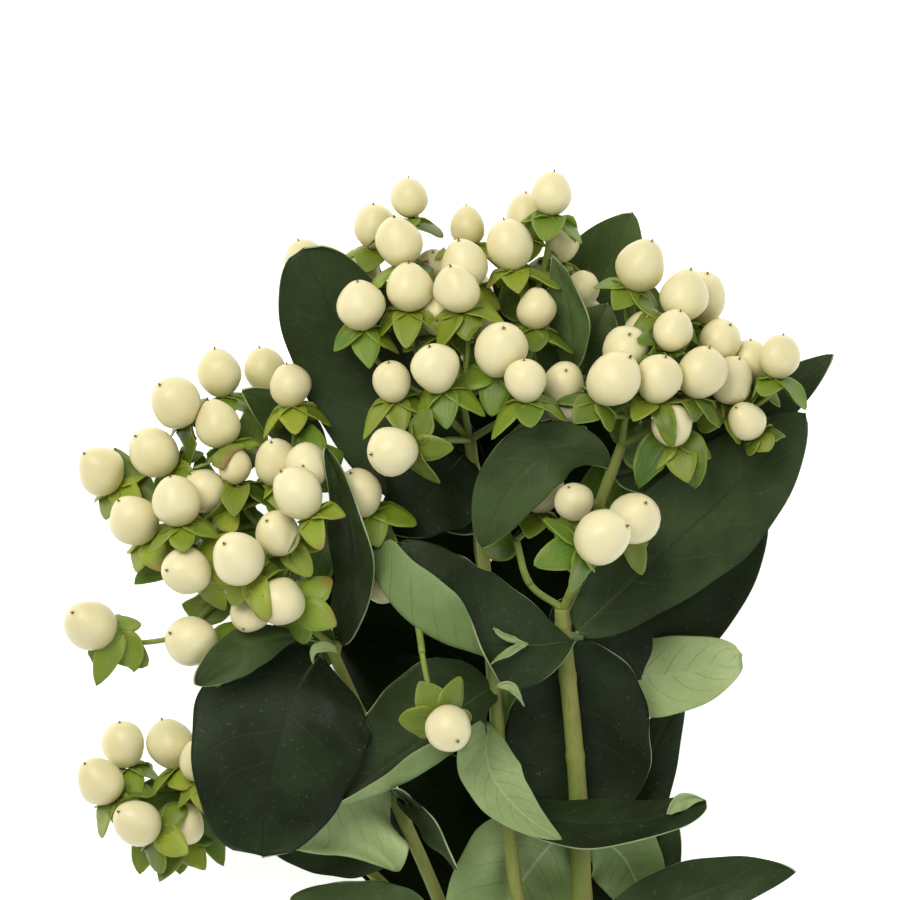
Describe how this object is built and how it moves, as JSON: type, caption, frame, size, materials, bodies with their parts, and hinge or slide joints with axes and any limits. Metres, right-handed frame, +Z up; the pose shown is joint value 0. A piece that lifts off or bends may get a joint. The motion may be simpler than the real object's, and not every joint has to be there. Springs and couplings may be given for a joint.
{
  "type": "hypericum berry stem",
  "caption": "Cut leafy hypericum stem lying on its side, forked into sprays of ivory berries with green calyces, for a bouquet or a vase.",
  "frame": {"origin": "on the table under the middle of the stem's whole outline", "axes": "+Y along the stem towards its berries, +Z up from the table it lies on, +X to the right seen from above"},
  "size_m": [0.192, 0.3998, 0.0983],
  "materials": {
    "berry": "satin",
    "leaf": "satin",
    "bract": "matte",
    "stem": "matte"
  },
  "bodies": {
    "root": {"stem": "stem", "spray_top": "berry", "spray_right": "berry", "spray_low_right": "berry", "spray_middle": "berry", "spray_left": "berry", "spray_inner_left": "berry", "spray_lower_left": "berry", "spray_back": "berry", "leaf_back_top": "leaf", "leaf_back_left": "leaf", "leaf_back_right": "leaf", "leaf_back_top_left": "leaf", "leaf_back_top_right": "leaf", "leaf_back_low_left": "leaf", "leaf_back_low_right": "leaf", "leaf_back_middle": "leaf", "leaf_back_inner": "leaf", "leaf_back_lower": "leaf", "leaf_back_foot": "leaf", "leaf_low_dark": "leaf", "leaf_side": "leaf", "leaf_low_left_dark": "leaf", "leaf_low_pale_right": "leaf", "leaf_low_pale": "leaf", "leaf_low_green": "leaf", "leaf_right_under": "leaf", "leaf_right_pale": "leaf", "leaf_under_stem": "leaf", "leaf_top_back": "leaf", "leaf_right_back": "leaf", "leaf_low_left_pale": "leaf", "leaf_top_left": "leaf", "leaf_centre_left": "leaf", "leaf_left_small": "leaf", "leaf_top_small": "leaf", "leaf_top_narrow": "leaf", "leaf_right_big": "leaf", "leaf_centre": "leaf", "leaf_middle": "leaf", "leaf_left_fold": "leaf", "leaf_low_middle": "leaf", "leaf_low_narrow": "leaf", "leaf_front": "leaf", "leaf_low_centre": "leaf", "leaf_low_right": "leaf", "leaf_left_big": "leaf", "leaf_left_bract": "bract"}
  },
  "joints": []
}
